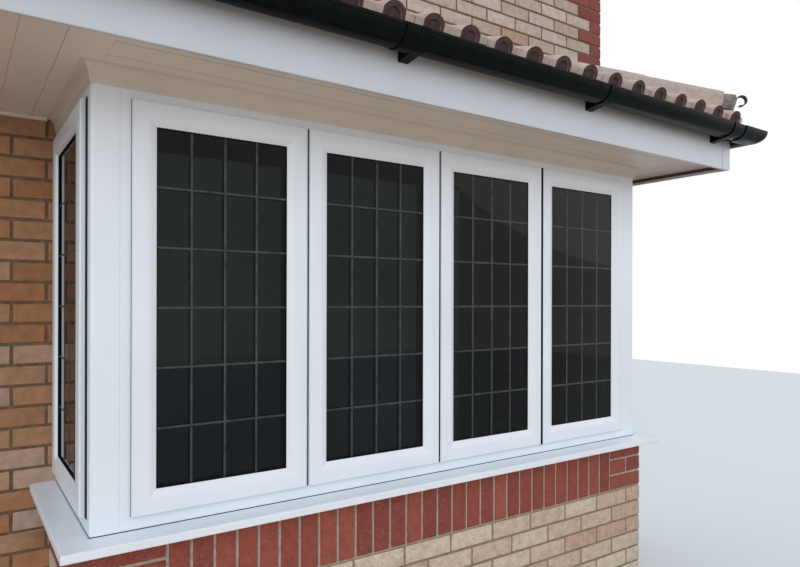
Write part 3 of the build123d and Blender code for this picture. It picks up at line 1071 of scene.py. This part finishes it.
def sash_profile(bevel_width):
    """Section of a sash: flange over the frame, sloped glass bead, groove and body."""
    return [
        (0.0, SASH_PROUD),
        *arc((SASH_ROUNDING, SASH_ROUNDING), SASH_ROUNDING, 180, 270, SASH_STEPS),
        *bevel_points(bevel_width),
        (STILE_WIDTH, GLASS_FRONT),
        (STILE_WIDTH - GLASS_BITE, GLASS_FRONT),
        (STILE_WIDTH - GLASS_BITE, GLASS_BACK),
        (STILE_WIDTH, GLASS_BACK),
        (STILE_WIDTH, SASH_DEPTH - BEVEL_DEPTH),
        (STILE_WIDTH - BEVEL_DEPTH, SASH_DEPTH),
        (SASH_LAP, SASH_DEPTH),
        (SASH_LAP, SASH_PROUD),
    ]


def sashes():
    shape = Shape()
    for light in LIGHTS:
        light.ring(shape, sash_profile(BEVEL_WIDTH if light.in_front else SIDE_BEVEL_WIDTH))
    piece("sashes", shape, UPVC, SASHES, smooth=25)


def upright_seal(shape, light, near, far, depth):
    """Black strip beside a sash, between two distances before its first edge, that paints the shade
    of the gap there.
    """
    ends = light.point(-far, 0.0, depth), light.point(-near, light.height, SASH_PROUD)
    corner_low = [min(pair) for pair in zip(*ends)]
    corner_high = [max(pair) for pair in zip(*ends)]
    shape.block(corner_low, corner_high, SHADE_STRIP_CHAMFER)


def gaskets_and_shade_strips():
    """Black gaskets on both faces of the glass; black strips beside the sashes that paint the shade
    in the gaps, the side ones also a real seal; and a black line at the frames' foot that paints
    the shadow line there.
    """
    shape = Shape()
    inner = STILE_WIDTH + GASKET_WIDTH
    for light in LIGHTS:
        height = GASKET_HEIGHT if light.in_front else SIDE_GASKET_HEIGHT
        for depth, outward in ((GLASS_FRONT, -height), (GLASS_BACK, height)):
            light.ring(shape, [
                (STILE_WIDTH, depth), (STILE_WIDTH, depth + outward),
                (inner, depth + outward / 2), (inner, depth),
            ])
    outward, height = FOOT_SHADOW_LINE
    edges = (FACE_OUTSET - outward, FACE_OUTSET + outward)
    shape.sweep(rectangle(*edges, SILL_TOP - height, SILL_TOP + height), ROUND_BAY)
    # Strips beside the sashes paint the shade in the gaps; the side ones are also a real seal
    for light, width, depth in zip(LIGHTS, GAP_SHADE_WIDTHS, GAP_SHADE_DEPTHS):
        upright_seal(shape, light, 0.0, width, depth)
    for light in LIGHTS[len(GAP_SHADE_WIDTHS):]:
        upright_seal(shape, light, *SIDE_SEAL_AND_SHADE, SASH_PROUD - SIDE_SEAL_AND_SHADE_HEIGHT)
    piece("gaskets_and_shade_strips", shape, GASKET_AND_SHADE_RUBBER)


def came_section(middle, depth, outward):
    """Flattened half-round strip of lead on a face of the glass."""
    half = CAME_WIDTH / 2
    inner = half * CAME_SHOULDER[0]
    shoulder = depth + outward * CAME_HEIGHT * CAME_SHOULDER[1]
    return [
        (middle - half, depth), (middle - inner, shoulder), (middle, depth + outward * CAME_HEIGHT),
        (middle + inner, shoulder), (middle + half, depth),
    ]


def parted(start, end, parts):
    """Places that divide a length into equal parts."""
    return [start + (end - start) * part / parts for part in range(1, parts)]


def cames():
    """Lead strips on both faces of each pane."""
    shape = Shape()
    for light in LIGHTS:
        across = (STILE_WIDTH, light.width - STILE_WIDTH)
        up = (RAIL_WIDTH, light.height - RAIL_WIDTH)
        for depth, outward in ((GLASS_FRONT, -1), (GLASS_BACK, 1)):
            for middle in parted(*across, PANE_COLUMNS):
                strip = came_section(middle, depth, outward)
                shape.loft([[light.point(at, end, back) for at, back in strip] for end in up])
            for middle in parted(*up, PANE_ROWS):
                strip = came_section(middle, depth, outward)
                shape.loft([[light.point(end, at, back) for at, back in strip] for end in across])
    piece("lead_cames", shape, CAME_LEAD)


def rod(shape, rings, steps=12):
    """Skin over upright or level ovals of (middle, first axis, second axis)."""
    loops = []
    for middle, first, second in rings:
        angles = [2 * math.pi * step / steps for step in range(steps)]
        loops.append([
            Vector(middle) + Vector(first) * cos(angle) + Vector(second) * sin(angle)
            for angle in angles
        ])
    shape.loft(loops)


def handles():
    """Brass lever handles on the room side of the two opening sashes."""
    shape = Shape()
    start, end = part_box("window_handles")
    depth = end.y - start.y
    pivot_z = end.z - PIVOT_DROP
    lever_y = start.y + depth - LEVER_MIDDLE
    for side in SIDES:
        x = side * (end.x - PLATE_HALF)
        plate_x = (x - PLATE_HALF, x + PLATE_HALF)
        plate_y = (start.y, start.y + PLATE_DEPTH)
        slab(shape, plate_x, plate_y, (end.z - PLATE_HEIGHT, end.z), PLATE_CHAMFER)
        rod(shape, [
            ((x, start.y + y, pivot_z), (radius, 0, 0), (0, 0, radius))
            for y, radius in (*PIVOT_RINGS, (depth - PIVOT_END[0], PIVOT_END[1]))
        ])
        rod(shape, [
            ((x, lever_y, pivot_z + share * (start.z - pivot_z)), (width, 0, 0), (0, thickness, 0))
            for share, width, thickness in LEVER_OVALS
        ])
    piece("lever_handles", shape, BRASS, ("window_handles",), smooth=50)


# Roof

def roof_place(side):
    """Turns (along, outset, height) into a place, for the front when side is 0."""
    if side:
        return lambda along, outset, height: (side * (HALF + outset), along, height)
    return lambda along, outset, height: (along, FRONT_Y - outset, height)


def roll_samples():
    """Places across one roll and its pan, with the heights of the underside and the top."""
    meeting = sqrt(ROLL_RADIUS ** 2 - TILE_THICKNESS ** 2)
    half = [0.0, *HOLLOW_STEPS, ROLL_HOLLOW, SHOULDER_STEP, meeting]
    places = [-place for place in reversed(half[1:])] + half
    samples = []
    for place in places:
        hollow = sqrt(max(ROLL_HOLLOW ** 2 - place ** 2, 0.0))
        top = max(sqrt(ROLL_RADIUS ** 2 - place ** 2), TILE_THICKNESS)
        samples.append((place, hollow, top))
    return samples


def tile_samples():
    """Places across one tile, measured from its first roll."""
    edge = ROLL_PITCH / 2 - TILE_GAP / 2
    samples = [(-edge, 0.0, TILE_THICKNESS)]
    for roll in range(ROLLS_IN_TILE):
        for place, hollow, top in roll_samples():
            samples.append((roll * ROLL_PITCH + place, hollow, top))
    samples.append(((ROLLS_IN_TILE - 1) * ROLL_PITCH + edge, 0.0, TILE_THICKNESS))
    return samples


def on_slope(place, along, outset, height, rise):
    """Place at a distance square to the slope from one of its points."""
    return place(along, outset + rise * sin(ROOF_PITCH), height + rise * cos(ROOF_PITCH))


def add_tile(shape, place, along, row):
    """One tile, resting with its lower end on the course below and cut square."""
    lower = TILE_OUTSET - TILE_SETBACK - row * TILE_RUN + chance.uniform(-TILE_JITTER, 0.0)
    upper = max(lower - TILE_RUN - TILE_LAP_RUN, FRONT_Y)
    lift = chance.uniform(-TILE_JITTER, TILE_JITTER)
    foot = pan_level(lower) - TILE_THICKNESS + lift
    head = pan_level(upper) - TILE_THICKNESS * (1 + (lower - upper) / TILE_RUN) + lift
    loops = []
    tones = []
    samples = tile_samples()
    for index, (across, hollow, top) in enumerate(samples):
        x = along + across
        loops.append([
            on_slope(place, x, lower, foot, hollow),
            on_slope(place, x, lower, foot, top),
            on_slope(place, x, upper, head, top),
            on_slope(place, x, upper, head, hollow),
        ])
        if index:
            # Painted shade: the rolls' lower ends take tone 1, over the tile's own brown, and the
            # pans and other faces take tone 0
            on_pan = top + samples[index - 1][2] <= 2 * TILE_THICKNESS + PAN_TOLERANCE
            tones += [0.0 if on_pan else 1.0, 0.0, 0.0, 0.0]
    shape.loft(loops, tones=tones + [0.0, 0.0])


def tile_places(side, row):
    """Where the first rolls of one course's tiles lie along a slope."""
    outset = TILE_OUTSET - row * TILE_RUN
    first, last = (FRONT_Y - outset, 0.0) if side else (-HALF - outset, HALF + outset)
    count = math.ceil((HALF + TILE_OUTSET) / TILE_WIDTH)
    places = [ROLL_PHASE + index * TILE_WIDTH for index in range(-count, count + 1)]
    return [place for place in places if first - TILE_WIDTH < place < last + TILE_WIDTH / 2]


def roof_tiles(name, side, cuts):
    """The tiles of one slope, cut along the hips."""
    shape = Shape()
    for row in range(math.ceil((TILE_OUTSET - FRONT_Y) / TILE_RUN)):
        for along in tile_places(side, row):
            add_tile(shape, roof_place(side), along, row)
    piece(name, shape, ROOF_TILE, (name,), cuts)


def filler_places(side):
    """Middles of the lowest rolls of one slope that end at its eaves."""
    edge = TILE_OUTSET - CORNER_CUT
    first, last = (FRONT_Y - edge, -ROLL_RADIUS) if side else (-HALF - edge, HALF + edge)
    rolls = [roll * ROLL_PITCH for roll in range(ROLLS_IN_TILE)]
    middles = [along + roll for along in tile_places(side, 0) for roll in rolls]
    return [middle for middle in middles if first < middle < last]


def eaves_fillers():
    """Mortar in the open ends of the lowest rolls, coloured with the tiles' painted shade to paint
    dark hollows.
    """
    shape = Shape()
    curve = arc((0.0, 0.0), ROLL_HOLLOW + FILLER_BITE, 0, 180)
    for side in (0, *SIDES):
        place = roof_place(side)
        for middle in filler_places(side):
            loops = []
            for back in (FILLER_INSET, FILLER_INSET + FILLER_DEPTH):
                outset = TILE_OUTSET - TILE_SETBACK - back
                foot = pan_level(outset) - TILE_THICKNESS
                loops.append([
                    on_slope(place, middle + across, outset, foot, rise) for across, rise in curve
                ])
            # Tone 1: painted shade
            shape.loft(loops, tone=1.0)
    piece("eaves_fillers", shape, ROOF_TILE)


WALL_CUT = ((0.0, -FLASHING_THICKNESS, 0.0), Vector((0.0, 1.0, 0.0)))


def hip_cut(side, facing):
    """Upright plane through a hip, facing the side slope if facing is 1, the front if -1."""
    return (side * HALF, FRONT_Y, 0.0), Vector((side, 1.0, 0.0)) * facing


def corner_cut(side):
    """Upright plane square to a hip, with its outward side towards the roof's corner."""
    corner = (side * (HALF + TILE_OUTSET - CORNER_CUT), FRONT_Y - TILE_OUTSET, 0.0)
    return corner, Vector((side, -1.0, 0.0))


def roof_slopes():
    front_cuts = [hip_cut(side, 1) for side in SIDES] + [corner_cut(side) for side in SIDES]
    roof_tiles("roof_slope_front", 0, front_cuts)
    for name, side in (("roof_slope_left", -1), ("roof_slope_right", 1)):
        roof_tiles(name, side, [hip_cut(side, -1), corner_cut(side), WALL_CUT])
    eaves_fillers()


def roof_deck():
    """Rafters and felt under the tiles, as one boarded mass."""
    top_gap = 2 * TILE_THICKNESS + DECK_GAP
    head = FRONT_Y + DECK_MEETING
    back = FASCIA_OUTSET - FASCIA_THICKNESS
    section = [
        (back, pan_level(back) - ROOF_DEPTH),
        (back, pan_level(back) - top_gap),
        (head, pan_level(FRONT_Y) - top_gap),
        (head, pan_level(FRONT_Y) - ROOF_DEPTH),
    ]
    round_piece("roof_deck", section, TIMBER)


def hip_axes(side):
    """Foot of a hip's axis, its direction, and the two directions across it."""
    corner = Vector((side * (HALF + TILE_OUTSET), FRONT_Y - TILE_OUTSET, EAVES_LEVEL))
    up_hip = Vector((-side, 1.0, ROOF_SLOPE)).normalized()
    across = Vector((side, 1.0, 0.0)).normalized()
    rise = across.cross(up_hip)
    if rise.z < 0:
        rise = -rise
    return corner + up_hip * HIP_SETBACK + Vector((0, 0, HIP_LIFT)), up_hip, across, rise


def arch(shape, side, start, end, radii, thickness):
    """Arched tile between two distances up a hip, with the outer radius at each, its tone rising
    down its sides to paint shade there.
    """
    foot, up_hip, across, rise = hip_axes(side)
    steps = 2 * CURVE_STEPS
    loops = []
    tones = []
    for step in range(steps + 1):
        angle = HIP_SPREAD * (2 * step / steps - 1)
        if step:
            # Painted shade: darker down the sides of the arch
            tones += [abs(sin(HIP_SHADING * angle))] * 4
        outward = across * sin(angle) + rise * cos(angle)
        loops.append([
            foot + up_hip * start + outward * radii[0],
            foot + up_hip * end + outward * radii[1],
            foot + up_hip * end + outward * (radii[1] - thickness),
            foot + up_hip * start + outward * (radii[0] - thickness),
        ])
    shape.loft(loops, tones=tones + [0.5, 0.5])


def hips():
    """Arched tiles along both hips on their mortar, cut at the flashing."""
    tiles = Shape()
    bed = Shape()
    plan_length = (TILE_OUTSET - FRONT_Y) * sqrt(2)
    length = plan_length * sqrt(1 + ROOF_SLOPE ** 2 / 2) - HIP_SETBACK
    for side in SIDES:
        distance = HIP_START
        while distance < length:
            radii = (HIP_RADIUS, HIP_RADIUS - HIP_TAPER)
            arch(tiles, side, distance, distance + HIP_GAUGE + HIP_LAP, radii, HIP_THICKNESS)
            distance += HIP_GAUGE
        inner = HIP_RADIUS - HIP_TAPER - HIP_THICKNESS
        fill = inner * BED_FILL
        arch(bed, side, HIP_START, length + HIP_LAP, (inner + BED_SPREAD, inner), fill)
        arch(bed, side, HIP_BED_START, 2 * HIP_START, (HIP_RADIUS - BED_INSET, inner), fill)
    piece("hip_arches", tiles, HIP_TILE, ("hip_tiles",), [WALL_CUT])
    piece("hip_bedding", bed, BEDDING, (), [WALL_CUT])


# Gutter

TROUGH_RADIUS = (GUTTER_OUTER - FASCIA_OUTSET - SLEEVE_WALL) / 2
TROUGH_MIDDLE = GUTTER_OUTER - TROUGH_RADIUS


def trough_curve(radius, start, end):
    """Half round of the trough, with straight upper sides."""
    middle = (TROUGH_MIDDLE, GUTTER_FOOT + TROUGH_RADIUS)
    curve = arc(middle, radius, start, end, FINE_STEPS)
    first, last = curve[0][0], curve[-1][0]
    return [(first, GUTTER_RIM), *curve, (last, GUTTER_RIM)]


def trough_section(grow, wall):
    """Half-round channel, larger than the gutter by grow."""
    outer = TROUGH_RADIUS + grow
    return trough_curve(outer, 180, 360) + trough_curve(outer - wall, 360, 180)


def lip_section(middle, grow):
    """Rolled bead along a rim of the gutter."""
    return arc((middle, GUTTER_RIM - LIP_RADIUS), LIP_RADIUS + grow, 0, LIP_TURN, LIP_STEPS)


def gutters():
    """Gutter round three sides, with angle pieces at its corners and a union in front."""
    shape = Shape()
    inner_rim = FASCIA_OUTSET + SLEEVE_WALL + LIP_RADIUS
    outer_rim = GUTTER_OUTER - LIP_RADIUS + LIP_OVERHANG
    shape.sweep(trough_section(0.0, GUTTER_WALL), ROUND_BAY)
    for rim in (inner_rim, outer_rim):
        shape.sweep(lip_section(rim, 0.0), ROUND_BAY)
    fittings = []
    for side in SIDES:
        corner_y = FRONT_Y - FASCIA_OUTSET + ANGLE_REACH
        corner_x = side * (HALF + FASCIA_OUTSET - ANGLE_REACH)
        fittings.append([
            side_station(side, corner_y), corner_station(side), front_station(corner_x),
        ])
    fittings.append([
        front_station(UNION_MIDDLE - UNION_HALF), front_station(UNION_MIDDLE + UNION_HALF),
    ])
    for stations in fittings:
        shape.sweep(trough_section(SLEEVE_WALL, SLEEVE_WALL), stations)
        shape.sweep(lip_section(outer_rim, SLEEVE_LIP), stations)
    for side in SIDES:
        end = [side_station(side, -GUTTER_WALL), side_station(side, 0.0)]
        shape.sweep(trough_curve(TROUGH_RADIUS, 180, 360), end)
    piece("gutters", shape, BLACK_PLASTIC, ("gutter_front", "side_gutters"))


# Finishes of the model's own nodes

KEPT_NODES = (
    (CONCRETE, ("bay_floor", "opening_lintel")),
    (PAINTED_BOARD, ("window_board_front", "side_window_boards")),
    (UPVC, ("front_frame", "left_frame", "right_frame")),
    (GLASS, ("front_glass", "side_glass")),
    (TIMBER, ("head_beam_front", "side_head_beams")),
    (PLASTER, ("bay_ceiling",)),
    # The wall beads take the soffit plastic, tinted warm to paint warm light
    (SOFFIT, ("wall_beads",)),
    (FASCIA, ("fascia_corner_trims",)),
    (BLACK_IRON, ("hip_irons",)),
    (LEAD, ("wall_flashing",)),
    (BLACK_PLASTIC, ("gutter_brackets",)),
)


def dress_nodes():
    for finish, nodes in KEPT_NODES:
        for node in nodes:
            for place in frame["nodes"][node].material_slots:
                place.material = finish.material


# Camera, floor and light

FLOOR_HALF = 14.0
FLOOR_PALE = (0.80, 0.80, 0.80, 1.0)
FLOOR_BOUNCE = (0.92, 0.66, 0.50, 1.0)
FLOOR_FAR_BOUNCE = (0.16, 0.13, 0.10, 1.0)
BOUNCE_MIDDLE = -0.6
BOUNCE_REACH = (0.9, 3.0)
SKY_LIGHT = (0.66, 0.74, 0.81, 1.0)
WHITE = (1.0, 1.0, 1.0, 1.0)


def camera():
    """Camera at the photograph's place and viewing angle."""
    forward = Vector((sin(CAMERA_YAW), cos(CAMERA_YAW), 0.0))
    level = Vector((cos(CAMERA_YAW), -sin(CAMERA_YAW), 0.0))
    up = Vector((0.0, 0.0, 1.0))
    right = level * cos(CAMERA_ROLL) + up * sin(CAMERA_ROLL)
    top = up * cos(CAMERA_ROLL) - level * sin(CAMERA_ROLL)
    data = bpy.data.cameras.new("camera")
    data.sensor_width = SENSOR_WIDTH
    data.lens = FOCAL_PIXELS * SENSOR_WIDTH / IMAGE_WIDTH
    data.shift_x = (IMAGE_WIDTH / 2 - AXIS_PIXEL[0]) / IMAGE_WIDTH
    data.shift_y = (AXIS_PIXEL[1] - IMAGE_HEIGHT / 2) / IMAGE_WIDTH
    turn = Matrix((right, top, -forward)).transposed()
    scene.camera = placed("camera", data)
    scene.camera.matrix_world = Matrix.Translation(CAMERA_PLACE) @ turn.to_4x4()


def floor():
    """Pale floor that throws back a warm light as ground does."""
    mesh = bpy.data.meshes.new("floor")
    square = rectangle(-FLOOR_HALF, FLOOR_HALF, -FLOOR_HALF, FLOOR_HALF)
    mesh.from_pydata([(x, y, 0.0) for x, y in square], [], [(0, 1, 2, 3)])
    finish = Finish("floor", Roughness=0.9, Specular_IOR_Level=0.1)
    across = finish.add("ShaderNodeSeparateXYZ", {"Vector": finish.place}).outputs["X"]
    along = finish.add("ShaderNodeMath", {0: across, 1: BOUNCE_MIDDLE}, operation="SUBTRACT")
    away = finish.add("ShaderNodeMath", {0: along.outputs["Value"]}, operation="ABSOLUTE")
    far = finish.fade(away.outputs["Value"], *BOUNCE_REACH)
    bounce = finish.mix(far, FLOOR_BOUNCE, FLOOR_FAR_BOUNCE)
    finish.colour(finish.mix(finish.seen_rays(), bounce, FLOOR_PALE))
    mesh.materials.append(finish.material)
    placed("floor", mesh)


def world():
    """Soft even sky that looks white to the camera."""
    scene.world = bpy.data.worlds.new("sky")
    sky = Nodes(scene.world)
    colour = sky.mix(sky.seen_rays(), SKY_LIGHT, WHITE)
    sky.link(colour, sky.tree.nodes["Background"].inputs["Color"])


def sun(name, place, energy, colour, spread):
    """Broad sun that shines on the bay from a place."""
    data = bpy.data.lights.new(name, "SUN")
    data.energy = energy
    data.color = colour
    data.angle = radians(spread)
    placed(name, data).rotation_euler = (-Vector(place)).to_track_quat("-Z", "Y").to_euler()


def lights():
    sun("sky_side", place=(-4.0, -6.3, 2.4), energy=1.25, colour=(0.91, 0.96, 1.0), spread=60)
    sun("right_side", place=(6.0, -3.3, 3.5), energy=0.3, colour=(1.0, 0.96, 0.90), spread=50)


scene.view_settings.view_transform = "Standard"
for make in (
    camera, base_bricks, soldier_bricks, base_core, house_bricks, house_core, house_plaster, sill,
    posts, head_trim, soffit, fascia, sashes, gaskets_and_shade_strips, cames, handles, roof_slopes, roof_deck,
    hips, gutters, dress_nodes, floor, world, lights,
):
    make()
